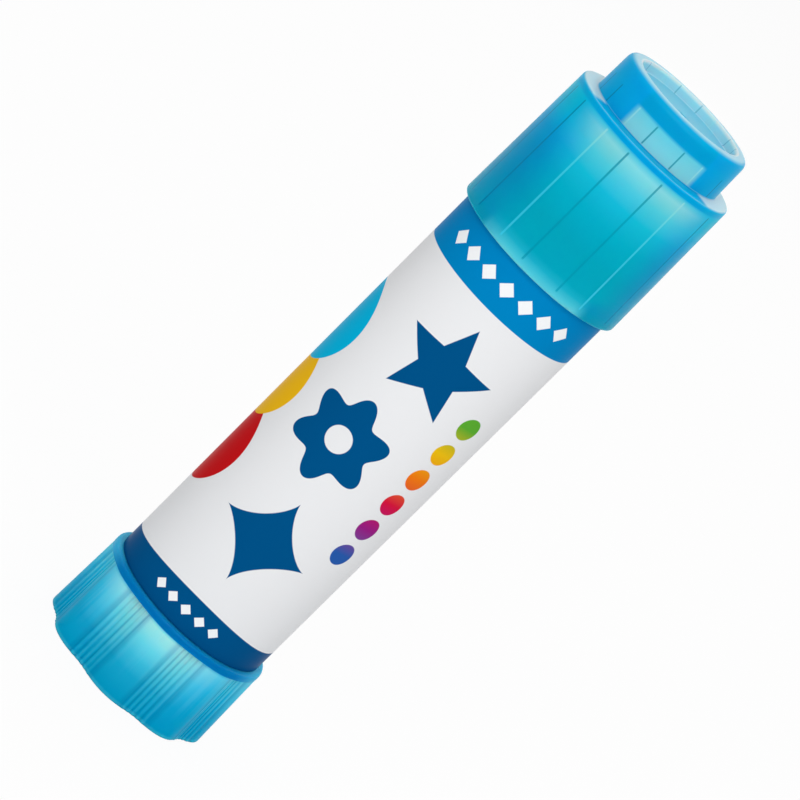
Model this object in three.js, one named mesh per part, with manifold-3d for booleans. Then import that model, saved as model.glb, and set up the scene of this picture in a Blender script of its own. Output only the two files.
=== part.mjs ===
// Glue stick, standing upright on its knob. Millimetres, +Z up, origin at the centre of the base.
// Turning the knob turns the left-hand spindle, and the carrier climbs it with the glue.
import * as THREE from 'three';
import { mergeVertices } from 'three/addons/utils/BufferGeometryUtils.js';
import Module from 'manifold-3d';

const wasm = await Module();
wasm.setup();

// Facets round the outer and the inner pieces
const outerSteps = 60;
const innerSteps = 48;
const edgeSteps = 3;

// Lengths along the stick
const knobHeight = 11.8;
const sleeveLength = 60.0;
const capBodyHeight = 19.6;
const bossHeight = 5.6;

// Barrel
const tubeRadius = 10.95;
const neckStep = 0.45;
const neckWall = 0.75;
const neckRimChamfer = 0.35;
const rimHeadroom = 4.4;
const neckBeadHeight = 0.1;
const neckBeadLength = 1.0;
const neckBeadUp = 2.4;
const spigotStep = 0.75;
const spigotWall = 0.85;
const spigotFloorGap = 3.6;
const snapBeadHeight = 0.2;
const snapBeadLength = 0.9;
const snapBeadUp = 2.0;
const bulkheadThickness = 1.4;
const bulkheadRise = 0.45;
const splineCount = 4;
const splineWidth = 1.2;
const splineHeight = 0.45;
const splineBelowRim = 1.5;
const splineFirstAngle = Math.PI / 4;

// Label
const labelThickness = 0.1;
const labelMargin = 0.1;

// Cap
const capWall = 1.3;
const capDraft = 0.32;
const capShoulderWall = 1.0;
const capEdgeRadius = 0.25;
const mouthEdge = 0.15;
const mouthLeadIn = 0.1;
const mouthLeadInHeight = 0.5;
const shoulderLedge = 2.25;
const bossWall = 1.3;
const bossDraft = 0.12;
const bossEdgeRadius = 0.7;
const bossRootFillet = 0.15;
const rimWidth = 1.8;
const rimInnerEdge = 0.12;
const recessDepth = 1.3;
const recessDraft = 0.1;
const topWall = 1.2;
const gateRadius = 0.5;
const gateHeight = 0.2;
const panelCount = 8;
const panelDepth = 0.35;
const landAngle = THREE.MathUtils.degToRad(26.3);
const firstLandMiddle = THREE.MathUtils.degToRad(-90 + 6.75);

// Knob
const knobWall = 1.45;
const ringHeight = 1.0;
const ringChamfer = 0.35;
const gripFlareTop = -0.03;
const gripFlareBase = 0.3;
const lobeCount = 8;
const lobeDepth = 1.0;
const lobeAngle = THREE.MathUtils.degToRad(26);
const firstLobeMiddle = THREE.MathUtils.degToRad(-90);
const ribsPerDip = 5;
const ribHeight = 0.18;
const knobFloor = 2.0;
const knobBaseChamfer = 0.15;
const baseRimWidth = 2.6;
const baseRecessDepth = 0.8;
const holdBeadHeight = 0.2;
const holdBeadLength = 0.4;
const hubWall = 1.75;
const socketFloor = 1.2;

// Spindle
const pitch = 4.0;
const threadRadius = 3.3;
const threadDepth = 0.8;
const crestLength = 1.0;
const flankLength = 0.4;
const threadSteps = 16;
const threadTipChamfer = 0.8;
const tipBelowRim = 6.0;
const journalStep = 0.2;
const collarStep = 1.5;
const collarThickness = 1.0;
const threadReliefLength = 0.8;
const threadReliefDepth = 0.15;
const tailRadius = 2.95;
const tailEndGap = 0.2;

// Carrier and glue
const turnsOfTravel = 10;
const carrierFloor = 1.2;
const carrierCupHeight = 6.9;
const carrierWall = 1.0;
const carrierRelief = 0.25;
const carrierLipLength = 1.2;
const carrierEdge = 0.3;
const nutWall = 1.5;
const nutHeight = 8.0;
const glueTopEdge = 1.3;
const glueHeadroom = 0.9;
const glueDish = 0.25;

// Clearances
const seatGap = 0.05;
const runningGap = 0.15;
const capFit = 0.15;
const knobFit = 0.3;
const snapGap = 0.15;
const labelFit = 0.02;
const journalFit = 0.3;
const collarGap = 0.2;
const tailFit = 0.1;
const threadFit = 0.2;
const pistonFit = 0.2;
const glueFit = 0.25;
const cupFit = 0.1;
const cutterOverrun = 1.0;

// Levels worked out from the sizes above
const barrelBaseZ = knobHeight + runningGap;
const shoulderZ = barrelBaseZ + sleeveLength;
const mouthZ = shoulderZ + seatGap;
const capShoulderZ = mouthZ + capBodyHeight;
const capTopZ = capShoulderZ + bossHeight;
const capCeilingZ = capShoulderZ - capShoulderWall;
const bossCeilingZ = capTopZ - recessDepth - topWall;
const rimZ = capCeilingZ - rimHeadroom;
const spigotBaseZ = knobFloor + spigotFloorGap;
const bulkheadTopZ = barrelBaseZ + bulkheadRise;
const bulkheadBaseZ = bulkheadTopZ - bulkheadThickness;
const hubTopZ = bulkheadBaseZ - collarGap;
const collarBaseZ = bulkheadTopZ + collarGap;
const collarTopZ = collarBaseZ + collarThickness;
const spindleTipZ = rimZ - tipBelowRim;
const carrierBaseZ = collarTopZ + collarGap;
const carrierFloorZ = carrierBaseZ + carrierFloor;
const carrierRimZ = carrierBaseZ + carrierCupHeight;
const nutTopZ = carrierBaseZ + nutHeight;
const travel = turnsOfTravel * pitch;
const glueTopZ = capCeilingZ - glueHeadroom - travel;

// Radii worked out from the sizes above
const neckRadius = tubeRadius - neckStep;
const boreRadius = neckRadius - neckWall;
const splineTopRadius = boreRadius - splineHeight;
const spigotRadius = tubeRadius - spigotStep;
const spigotBoreRadius = spigotRadius - spigotWall;
const landRadius = neckRadius + capFit;
const capMouthRadius = landRadius + capWall;
const capShoulderRadius = capMouthRadius - capDraft;
const bossRadius = capShoulderRadius - shoulderLedge;
const bossLandRadius = bossRadius - bossWall;
const recessRadius = bossRadius - rimWidth;
const knobBoreRadius = spigotRadius + knobFit;
const ringRadius = knobBoreRadius + knobWall;
const threadRootRadius = threadRadius - threadDepth;
const journalRadius = threadRadius - journalStep;
const bulkheadHoleRadius = journalRadius + journalFit;
const collarRadius = journalRadius + collarStep;
const socketRadius = tailRadius + tailFit;
const hubRadius = socketRadius + hubWall;
const carrierRadius = boreRadius - pistonFit;
const cupRadius = carrierRadius - carrierWall;
const nutRadius = threadRadius + threadFit + nutWall;
const glueRadius = boreRadius - glueFit;
const notchRadius = splineTopRadius - pistonFit;

// Solids: closed geometries are merged, then joined and cut

function toSolid(geometry) {
  geometry.deleteAttribute('normal');
  geometry.deleteAttribute('uv');
  const merged = mergeVertices(geometry, 1e-4);
  const corners = merged.index.array;
  const kept = [];
  for (let i = 0; i < corners.length; i += 3) {
    const [a, b, c] = [corners[i], corners[i + 1], corners[i + 2]];
    if (a !== b && b !== c && c !== a) kept.push(a, b, c);
  }
  const mesh = new wasm.Mesh({
    numProp: 3,
    vertProperties: new Float32Array(merged.getAttribute('position').array),
    triVerts: new Uint32Array(kept),
  });
  return new wasm.Manifold(mesh);
}

function toGeometry(solid) {
  const mesh = solid.getMesh();
  const geometry = new THREE.BufferGeometry();
  geometry.setAttribute('position', new THREE.BufferAttribute(mesh.vertProperties, 3));
  geometry.setIndex(new THREE.BufferAttribute(mesh.triVerts, 1));
  geometry.computeVertexNormals();
  return geometry;
}

// A turned solid from [radius, height] points that run up the outside, from axis to axis
function turned(points, steps) {
  const profile = points.map(([radius, height]) => new THREE.Vector2(radius, height));
  const geometry = new THREE.LatheGeometry(profile, steps);
  geometry.rotateX(Math.PI / 2);
  return toSolid(geometry);
}

// A shape in XY raised from one height to another
function raised(shape, fromZ, toZ) {
  const settings = { depth: toZ - fromZ, bevelEnabled: false, curveSegments: 1 };
  const geometry = new THREE.ExtrudeGeometry(shape, settings);
  geometry.translate(0, 0, fromZ);
  return toSolid(geometry);
}

function plainCylinder(radius, fromZ, toZ, steps) {
  return turned([[0, fromZ], [radius, fromZ], [radius, toZ], [0, toZ]], steps);
}

// Points of a rounded outer edge, from the side up to the flat above it
function roundedEdge(radius, topZ, edge, drop = edge) {
  const points = [];
  for (let i = 0; i <= edgeSteps; i++) {
    const turn = (i / edgeSteps) * Math.PI / 2;
    points.push([radius - edge * (1 - Math.cos(turn)), topZ - drop * (1 - Math.sin(turn))]);
  }
  return points;
}

function polar(radius, angle) {
  return new THREE.Vector2(radius * Math.cos(angle), radius * Math.sin(angle));
}

function arcPoints(radius, fromAngle, toAngle, steps) {
  const points = [];
  for (let i = 0; i <= steps; i++) {
    points.push(polar(radius, fromAngle + (toAngle - fromAngle) * i / steps));
  }
  return points;
}

// Outline of a round hole whose wall has thick lands, with thin panels sunk between them
function panelledOutline(radius) {
  const period = 2 * Math.PI / panelCount;
  const points = [];
  for (let i = 0; i < panelCount; i++) {
    const middle = firstLandMiddle + i * period;
    const landEnd = middle + landAngle / 2;
    const nextLand = middle + period - landAngle / 2;
    points.push(...arcPoints(radius, middle - landAngle / 2, landEnd, 4));
    points.push(...arcPoints(radius + panelDepth, landEnd, nextLand, 3));
  }
  return new THREE.Shape(points);
}

// Bars that stand along the bore, evenly round it, between two radii
function splineBars(width, innerRadius, outerRadius, fromZ, toZ) {
  const bars = [];
  for (let i = 0; i < splineCount; i++) {
    const bar = new THREE.BoxGeometry(outerRadius - innerRadius, width, toZ - fromZ);
    bar.translate((innerRadius + outerRadius) / 2, 0, (fromZ + toZ) / 2);
    bar.rotateZ(splineFirstAngle + i * 2 * Math.PI / splineCount);
    bars.push(toSolid(bar));
  }
  return bars.reduce((joined, bar) => joined.add(bar));
}

// A rod with a left-hand trapezoidal thread. Its skin is one strip wound round the axis: foot,
// flank, crest, flank, and then the foot of the next turn. A crest's height falls by one pitch for
// each turn anticlockwise as seen from above.
function threadedRod(fromZ, toZ, rootRadius, crestRadius, crest, flank) {
  const turns = Math.ceil((toZ - fromZ) / pitch) + 2;
  const startZ = carrierBaseZ + pitch * (Math.floor((fromZ - carrierBaseZ) / pitch) - 1);
  const section = [
    [rootRadius, -crest / 2 - flank],
    [crestRadius, -crest / 2],
    [crestRadius, crest / 2],
    [rootRadius, crest / 2 + flank],
  ];
  const rows = turns * threadSteps;
  const positions = [];
  for (let k = 0; k <= rows; k++) {
    const angle = -k * 2 * Math.PI / threadSteps;
    const z = startZ + pitch * k / threadSteps;
    for (const [radius, offset] of section) {
      positions.push(radius * Math.cos(angle), radius * Math.sin(angle), z + offset);
    }
  }
  const at = (k, j) => k * section.length + j;
  const triangles = [];
  const addQuad = (a, b, c, d) => triangles.push(a, c, b, a, d, c);
  for (let k = 0; k < rows; k++) {
    for (let j = 0; j < section.length - 1; j++) {
      addQuad(at(k, j), at(k + 1, j), at(k + 1, j + 1), at(k, j + 1));
    }
    const next = k + threadSteps;
    if (next < rows) addQuad(at(k, 3), at(k + 1, 3), at(next + 1, 0), at(next, 0));
  }
  // Each end closes on a point of the axis, round the open edge of the last turn
  const lowPoint = positions.length / 3;
  positions.push(0, 0, startZ);
  const highPoint = lowPoint + 1;
  positions.push(0, 0, startZ + pitch * turns);
  const lowLoop = [];
  for (let k = 0; k <= threadSteps; k++) lowLoop.push(at(k, 0));
  lowLoop.push(at(0, 3), at(0, 2), at(0, 1));
  const highLoop = [];
  for (let k = rows - threadSteps; k <= rows; k++) highLoop.push(at(k, 3));
  highLoop.push(at(rows, 2), at(rows, 1), at(rows, 0));
  for (let i = 0; i < lowLoop.length; i++) {
    triangles.push(lowPoint, lowLoop[i], lowLoop[(i + 1) % lowLoop.length]);
  }
  for (let i = 0; i < highLoop.length; i++) {
    triangles.push(highPoint, highLoop[(i + 1) % highLoop.length], highLoop[i]);
  }
  const geometry = new THREE.BufferGeometry();
  geometry.setAttribute('position', new THREE.Float32BufferAttribute(positions, 3));
  geometry.setIndex(triangles);
  return toSolid(geometry);
}

// Cap: drafted shell with a boss, a rim round a recess on top, and panelled walls inside

function makeCap() {
  const outside = turned([
    [0, mouthZ],
    [capMouthRadius - mouthEdge, mouthZ],
    [capMouthRadius, mouthZ + mouthEdge],
    ...roundedEdge(capShoulderRadius, capShoulderZ, capEdgeRadius),
    [bossRadius + bossDraft + bossRootFillet, capShoulderZ],
    [bossRadius + bossDraft, capShoulderZ + bossRootFillet],
    ...roundedEdge(bossRadius, capTopZ, bossEdgeRadius),
    [recessRadius + rimInnerEdge, capTopZ],
    [recessRadius, capTopZ - rimInnerEdge],
    [recessRadius - recessDraft, capTopZ - recessDepth],
    [gateRadius, capTopZ - recessDepth],
    [gateRadius, capTopZ - recessDepth + gateHeight],
    [0, capTopZ - recessDepth + gateHeight],
  ], outerSteps);
  const bodyHollow = raised(panelledOutline(landRadius), mouthZ - cutterOverrun, capCeilingZ);
  const bossHollow = raised(panelledOutline(bossLandRadius), mouthZ, bossCeilingZ);
  const leadIn = turned([
    [0, mouthZ - cutterOverrun],
    [landRadius + mouthLeadIn, mouthZ - cutterOverrun],
    [landRadius + mouthLeadIn, mouthZ],
    [landRadius, mouthZ + mouthLeadInHeight],
    [0, mouthZ + mouthLeadInHeight],
  ], outerSteps);
  return outside.subtract(bodyHollow).subtract(bossHollow).subtract(leadIn);
}

// Barrel: tube, neck and spigot in one, with an inner floor for the spindle and splines

function makeBarrel() {
  const beadZ = shoulderZ + neckBeadUp;
  const snapZ = spigotBaseZ + snapBeadUp;
  const outside = turned([
    [0, spigotBaseZ],
    [spigotRadius - snapBeadHeight, spigotBaseZ],
    [spigotRadius, spigotBaseZ + snapBeadHeight],
    [spigotRadius, snapZ],
    [spigotRadius + snapBeadHeight, snapZ + snapBeadLength / 2],
    [spigotRadius + snapBeadHeight, snapZ + snapBeadLength],
    [spigotRadius, snapZ + snapBeadLength],
    [spigotRadius, barrelBaseZ],
    [tubeRadius, barrelBaseZ],
    [tubeRadius, shoulderZ],
    [neckRadius, shoulderZ],
    [neckRadius, beadZ],
    [neckRadius + neckBeadHeight, beadZ + neckBeadHeight],
    [neckRadius + neckBeadHeight, beadZ + neckBeadLength - neckBeadHeight],
    [neckRadius, beadZ + neckBeadLength],
    [neckRadius, rimZ - neckRimChamfer],
    [neckRadius - neckRimChamfer, rimZ],
    [0, rimZ],
  ], outerSteps);
  const bore = plainCylinder(boreRadius, bulkheadTopZ, rimZ + cutterOverrun, innerSteps);
  const splineTopZ = rimZ - splineBelowRim;
  const rootRadius = boreRadius + neckWall / 2;
  const splines = splineBars(splineWidth, splineTopRadius, rootRadius, bulkheadTopZ - seatGap, splineTopZ);
  const under = plainCylinder(spigotBoreRadius, spigotBaseZ - cutterOverrun, bulkheadBaseZ, innerSteps);
  const hole = plainCylinder(
    bulkheadHoleRadius, bulkheadBaseZ - cutterOverrun, bulkheadTopZ + cutterOverrun, innerSteps,
  );
  return outside.subtract(bore).add(splines).subtract(under).subtract(hole);
}

// Label: thin printed sleeve round the barrel

function makeLabel() {
  const inside = tubeRadius + labelFit;
  const outside = inside + labelThickness;
  const fromZ = barrelBaseZ + labelMargin;
  const toZ = shoulderZ - labelMargin;
  const sleeve = plainCylinder(outside, fromZ, toZ, outerSteps);
  return sleeve.subtract(plainCylinder(inside, fromZ - cutterOverrun, toZ + cutterOverrun, outerSteps));
}

// Knob: drafted grip of round lobes with fine ribs in the dips, a plain ring above it, and inside
// a hub with a hexagonal socket for the spindle and a bead that holds the barrel's spigot

function gripOutline(peakRadius) {
  const period = 2 * Math.PI / lobeCount;
  const dipAngle = period - lobeAngle;
  const lobeSteps = 6;
  const lobeDrop = 0.5;
  const points = [];
  for (let i = 0; i < lobeCount; i++) {
    const middle = firstLobeMiddle + i * period;
    for (let j = 0; j <= lobeSteps; j++) {
      const across = 2 * j / lobeSteps - 1;
      const radius = peakRadius - lobeDrop * lobeDepth * across * across;
      points.push(polar(radius, middle + across * lobeAngle / 2));
    }
    for (let j = 1; j < 2 * ribsPerDip; j++) {
      const across = j / ribsPerDip - 1;
      const sink = lobeDrop + (1 - lobeDrop) * (1 - across * across);
      const rib = j % 2 === 1 ? ribHeight : 0;
      const radius = peakRadius - lobeDepth * sink + rib;
      points.push(polar(radius, middle + (lobeAngle + dipAngle * (1 + across)) / 2));
    }
  }
  return new THREE.Shape(points);
}

function makeKnob() {
  const gripTopZ = knobHeight - ringHeight;
  const basePeak = ringRadius + gripFlareBase;
  const topPeak = ringRadius + gripFlareTop;
  const settings = { depth: gripTopZ, bevelEnabled: false, curveSegments: 1 };
  const grip = new THREE.ExtrudeGeometry(gripOutline(basePeak), settings);
  const corners = grip.getAttribute('position');
  for (let i = 0; i < corners.count; i++) {
    const scale = THREE.MathUtils.lerp(1, topPeak / basePeak, corners.getZ(i) / gripTopZ);
    corners.setXY(i, corners.getX(i) * scale, corners.getY(i) * scale);
  }
  const envelope = turned([
    [0, 0],
    [basePeak - knobBaseChamfer, 0],
    [basePeak, knobBaseChamfer],
    [basePeak, knobHeight],
    [0, knobHeight],
  ], outerSteps);
  const ring = turned([
    [0, gripTopZ - seatGap],
    [ringRadius, gripTopZ - seatGap],
    [ringRadius, knobHeight - ringChamfer],
    [ringRadius - ringChamfer, knobHeight],
    [0, knobHeight],
  ], outerSteps);
  const snapTopZ = spigotBaseZ + snapBeadUp + snapBeadLength;
  const beadZ = snapTopZ + snapGap;
  const hollow = turned([
    [0, hubTopZ],
    [hubRadius, hubTopZ],
    [hubRadius, knobFloor],
    [knobBoreRadius, knobFloor],
    [knobBoreRadius, beadZ],
    [knobBoreRadius - holdBeadHeight, beadZ + holdBeadHeight],
    [knobBoreRadius - holdBeadHeight, beadZ + holdBeadLength],
    [knobBoreRadius, beadZ + holdBeadLength + holdBeadHeight],
    [knobBoreRadius, knobHeight + cutterOverrun],
    [0, knobHeight + cutterOverrun],
  ], innerSteps);
  const socket = plainCylinder(socketRadius, socketFloor + baseRecessDepth, knobHeight, 6);
  const recessEdge = topPeak - baseRimWidth;
  const recess = turned([
    [0, -cutterOverrun],
    [recessEdge, -cutterOverrun],
    [recessEdge, 0],
    [recessEdge - recessDraft, baseRecessDepth],
    [gateRadius, baseRecessDepth],
    [gateRadius, baseRecessDepth - gateHeight],
    [0, baseRecessDepth - gateHeight],
  ], innerSteps);
  const drafted = toSolid(grip).intersect(envelope);
  return drafted.add(ring).subtract(hollow).subtract(socket).subtract(recess);
}

// Spindle: left-hand thread, a collar on the barrel's inner floor, a journal through its hole and a
// hexagonal tail in the knob's hub

function makeSpindle() {
  const threadBaseZ = collarTopZ + threadReliefLength;
  const reliefRadius = threadRootRadius - threadReliefDepth;
  const tailBaseZ = socketFloor + baseRecessDepth + tailEndGap;
  const rod = threadedRod(
    threadBaseZ, spindleTipZ, threadRootRadius, threadRadius, crestLength, flankLength,
  );
  const trim = turned([
    [0, threadBaseZ],
    [reliefRadius, threadBaseZ],
    [threadRadius * 2, threadBaseZ + threadRadius * 2 - reliefRadius],
    [threadRadius * 2, spindleTipZ - threadRadius - threadTipChamfer],
    [threadRadius - threadTipChamfer, spindleTipZ],
    [0, spindleTipZ],
  ], innerSteps / 2);
  const journalBaseZ = hubTopZ + seatGap;
  const lower = turned([
    [0, journalBaseZ],
    [journalRadius, journalBaseZ],
    [journalRadius, collarBaseZ],
    [collarRadius, collarBaseZ],
    [collarRadius, collarTopZ],
    [reliefRadius, collarTopZ],
    [reliefRadius, threadBaseZ + threadReliefDepth],
    [0, threadBaseZ + threadReliefDepth],
  ], innerSteps / 2);
  const tail = plainCylinder(tailRadius, tailBaseZ, collarBaseZ, 6);
  return rod.intersect(trim).add(lower).add(tail);
}

// Carrier: piston cup with two lips, notches for the splines and a threaded hub

function makeCarrier() {
  const lipInner = carrierRadius - carrierRelief;
  const cup = turned([
    [0, carrierBaseZ],
    [carrierRadius - carrierEdge, carrierBaseZ],
    [carrierRadius, carrierBaseZ + carrierEdge],
    [carrierRadius, carrierBaseZ + carrierLipLength],
    [lipInner, carrierBaseZ + carrierLipLength + carrierRelief],
    [lipInner, carrierRimZ - carrierLipLength - carrierRelief],
    [carrierRadius, carrierRimZ - carrierLipLength],
    [carrierRadius, carrierRimZ],
    [cupRadius, carrierRimZ],
    [cupRadius, carrierFloorZ],
    [nutRadius, carrierFloorZ],
    [nutRadius, nutTopZ],
    [0, nutTopZ],
  ], innerSteps);
  const thread = threadedRod(
    carrierBaseZ, nutTopZ, threadRootRadius + threadFit, threadRadius + threadFit,
    crestLength + threadFit, flankLength,
  );
  const notchWidth = splineWidth + 2 * pistonFit;
  const notches = splineBars(
    notchWidth, notchRadius, boreRadius, carrierBaseZ - cutterOverrun, carrierRimZ + cutterOverrun,
  );
  return cup.subtract(thread).subtract(notches);
}

// Glue: cast in the cup and the bore, round the hub, the spindle and the splines

function makeGlue() {
  const stemRadius = cupRadius - cupFit;
  const body = turned([
    [0, carrierFloorZ + cupFit],
    [stemRadius, carrierFloorZ + cupFit],
    [stemRadius, carrierRimZ + cupFit],
    [glueRadius, carrierRimZ + cupFit],
    ...roundedEdge(glueRadius, glueTopZ, glueTopEdge, glueTopEdge / 2),
    [0, glueTopZ - glueDish],
  ], innerSteps);
  const hubHollow = plainCylinder(
    nutRadius + cupFit, carrierBaseZ, nutTopZ + cupFit, innerSteps,
  );
  const hole = plainCylinder(threadRadius + threadFit, carrierBaseZ, glueTopZ + cutterOverrun, innerSteps / 2);
  const grooves = splineBars(
    splineWidth + 2 * pistonFit, notchRadius, boreRadius, carrierRimZ, glueTopZ + cutterOverrun,
  );
  return body.subtract(hubHollow).subtract(hole).subtract(grooves);
}

// Materials

function plastic(color, roughness) {
  return new THREE.MeshStandardMaterial({ color, roughness, metalness: 0 });
}

const bluePlastic = plastic(0x12a3cf, 0.35);
bluePlastic.transparent = true;
bluePlastic.opacity = 0.85;
const whitePlastic = plastic(0xf1f2f0, 0.45);
const labelFilm = plastic(0xe6e7e9, 0.3);
const gluePaste = plastic(0xf4f1e6, 0.6);

// Assembly: each moving group of pieces is a group of its own

const stick = new THREE.Group();
const barrelGroup = new THREE.Group();
const capGroup = new THREE.Group();
const knobGroup = new THREE.Group();
const carrierGroup = new THREE.Group();
stick.add(barrelGroup, capGroup, knobGroup, carrierGroup);

function addPiece(group, name, solid, material) {
  const piece = new THREE.Mesh(toGeometry(solid), material);
  piece.name = name;
  group.add(piece);
}

addPiece(barrelGroup, 'barrel', makeBarrel(), whitePlastic);
addPiece(barrelGroup, 'label', makeLabel(), labelFilm);
addPiece(capGroup, 'cap', makeCap(), bluePlastic);
addPiece(knobGroup, 'turning_knob', makeKnob(), bluePlastic);
addPiece(knobGroup, 'spindle', makeSpindle(), whitePlastic);
addPiece(carrierGroup, 'carrier', makeCarrier(), whitePlastic);
addPiece(carrierGroup, 'glue', makeGlue(), gluePaste);

export default stick;
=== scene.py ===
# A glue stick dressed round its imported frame: translucent cap and knob, printed label, white
# barrel, spindle and carrier, and the glue. Settings are millimetres and degrees.
import math

import bpy
import numpy as np
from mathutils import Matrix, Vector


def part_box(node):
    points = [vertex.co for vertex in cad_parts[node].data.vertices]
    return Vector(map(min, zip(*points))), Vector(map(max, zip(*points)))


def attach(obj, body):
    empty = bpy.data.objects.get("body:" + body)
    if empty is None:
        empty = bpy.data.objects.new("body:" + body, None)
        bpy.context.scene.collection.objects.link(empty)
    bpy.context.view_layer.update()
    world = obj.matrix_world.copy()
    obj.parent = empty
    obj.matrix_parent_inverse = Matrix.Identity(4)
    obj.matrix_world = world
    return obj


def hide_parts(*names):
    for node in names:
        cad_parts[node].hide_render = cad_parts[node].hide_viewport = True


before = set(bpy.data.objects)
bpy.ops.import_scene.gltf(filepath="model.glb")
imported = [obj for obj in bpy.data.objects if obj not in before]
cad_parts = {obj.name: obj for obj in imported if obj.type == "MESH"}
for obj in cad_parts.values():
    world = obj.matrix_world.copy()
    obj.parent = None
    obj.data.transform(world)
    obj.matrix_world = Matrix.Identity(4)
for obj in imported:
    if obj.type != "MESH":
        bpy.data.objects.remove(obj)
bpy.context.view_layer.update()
mm = 0.001
degree = math.pi / 180


def lowest(node, axis=2):
    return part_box(node)[0][axis] / mm


def highest(node, axis=2):
    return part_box(node)[1][axis] / mm


def addObject(name, data):
    made = bpy.data.objects.new(name, data)
    bpy.context.scene.collection.objects.link(made)
    return made


# The node tree of a material or the world, emptied
def emptyTree(owner):
    owner.use_nodes = True
    owner.node_tree.nodes.clear()
    return owner.node_tree


# Sizes that come from the frame
mouthZ, capTopZ, mouthRadius = lowest("cap"), highest("cap"), highest("cap", 0)
spigotZ, rimZ, tubeRadius = lowest("barrel"), highest("barrel"), highest("barrel", 0)
labelBaseZ, labelTopZ, labelRadius = lowest("label"), highest("label"), highest("label", 0)
knobTopZ = highest("turning_knob")
tailZ, tipZ = lowest("spindle"), highest("spindle")
carrierZ, nutTopZ, pistonRadius = lowest("carrier"), highest("carrier"), highest("carrier", 0)
glueBaseZ, glueTopZ, glueRadius = lowest("glue"), highest("glue"), highest("glue", 0)

# Heights inside the stick, from the pieces beside them
fits = {"labelMargin": 0.1, "bulkheadDrop": 0.95, "collarDrop": 1.2}
barrelBaseZ, shoulderZ = labelBaseZ - fits["labelMargin"], labelTopZ + fits["labelMargin"]
bulkheadZ, collarZ = barrelBaseZ - fits["bulkheadDrop"], carrierZ - fits["collarDrop"]


# Shapes: each is a profile carried round the axis. Angle 0 faces the viewer and grows to the right.

# A path through corners of [radius, height, corner size, mark...]; a mark left out is 0. Each
# corner is a curve that leaves the straight runs at the corner size:
# (1-s)^2 start + 2s(1-s) corner + s^2 end
def roundedPath(corners, closed=False, curvePoints=5):
    width = max(len(corner) for corner in corners)
    table = np.array([list(corner) + [0.0] * (width - len(corner)) for corner in corners])
    along = np.linspace(0, 1, curvePoints)[:, None]
    mostOfRun = 0.48
    path = []
    for i, corner in enumerate(table):
        last = i == len(table) - 1
        if corner[2] == 0 or (not closed and (i == 0 or last)):
            path.append(corner[None])
            continue
        ends = []
        for other in (table[i - 1], table[(i + 1) % len(table)]):
            reach = np.linalg.norm((other - corner)[:2])
            ends.append(corner + (other - corner) * min(corner[2] / reach, mostOfRun))
        start, end = ends
        path.append((1 - along) ** 2 * start + 2 * along * (1 - along) * corner + along**2 * end)
    return np.concatenate(path)


# Angles for one turn: even steps, and a close pair of columns at each edge in degrees, which takes
# the place of a step that would stand too near to it
def turnAngles(steps, edges=(), closeness=0.25):
    even = np.linspace(0, 360, steps, endpoint=False)
    pairs = [edge + side * closeness for edge in edges for side in (-1, 1)]
    if pairs:
        pairs = np.array(pairs) % 360
        distance = np.abs((even[:, None] - pairs + 180) % 360 - 180).min(1)
        tooNear = 0.4 * 360 / steps
        even = even[distance > tooNear]
    return np.radians(np.sort(np.concatenate([even, pairs])))


# Points of a grid of radii and heights: x = radius sin(angle), y = -radius cos(angle)
def roundGrid(radius, height, angles):
    height = np.broadcast_to(height, radius.shape)
    return np.stack([radius * np.sin(angles), -radius * np.cos(angles), height], -1)


# A hexagon's radius as a share of its corners': cos(30) / cos(angle from the middle of a flat)
def hexagonShape(angles):
    fromCorner = (np.degrees(angles) + 30) % 60 - 30
    return np.cos(np.radians(30)) / np.cos(np.radians(30) - np.abs(np.radians(fromCorner)))


# A closed grid's last row meets its first. An open one starts and ends in a point on the axis.
def makePiece(name, grid, body, node, material, closed=False, sharpAngle=30):
    rows, columns = grid.shape[:2]
    index = np.arange(rows * columns).reshape(rows, columns)
    if closed:
        points = grid.reshape(-1, 3)
        following = np.roll(index, -1, 1)
        above, aboveNext = np.roll(index, -1, 0), np.roll(following, -1, 0)
        faces = np.stack([index, following, aboveNext, above], -1).reshape(-1, 4).tolist()
    else:
        points = np.concatenate([grid[0, :1], grid[1:-1].reshape(-1, 3), grid[-1, :1]])
        index = np.clip(index - columns + 1, 0, len(points) - 1)
        following = np.roll(index, -1, 1)
        foot = np.stack([index[0], following[1], index[1]], -1)
        quads = np.stack([index[1:-2], following[1:-2], following[2:-1], index[2:-1]], -1)
        head = np.stack([index[-1], index[-2], following[-2]], -1)
        faces = foot.tolist() + quads.reshape(-1, 4).tolist() + head.tolist()
    mesh = bpy.data.meshes.new(name)
    mesh.from_pydata((points * mm).tolist(), [], faces)
    mesh.shade_smooth()
    mesh.set_sharp_from_angle(angle=math.radians(sharpAngle))
    mesh.materials.append(material)
    piece = addObject(name, mesh)
    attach(piece, body)
    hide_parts(node)
    print("made", name, len(mesh.polygons), "faces")


# A colour given as it looks on screen, turned to the shader's linear numbers
def screen(red, green, blue):
    scaled = [value / 255 for value in (red, green, blue)]
    return tuple(v / 12.92 if v <= 0.04045 else ((v + 0.055) / 1.055) ** 2.4 for v in scaled)


# Shader maths: a socket with Python's operators, and one method for any node

class Level:
    def __init__(self, maker, socket):
        self.maker = maker
        self.socket = socket

    def __add__(self, other):
        return self.maker.maths("ADD", self, other)

    def __sub__(self, other):
        return self.maker.maths("SUBTRACT", self, other)

    def __rsub__(self, other):
        return self.maker.maths("SUBTRACT", other, self)

    def __mul__(self, other):
        return self.maker.maths("MULTIPLY", self, other)

    def __truediv__(self, other):
        return self.maker.maths("DIVIDE", self, other)

    def __abs__(self):
        return self.maker.maths("ABSOLUTE", self)


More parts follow.
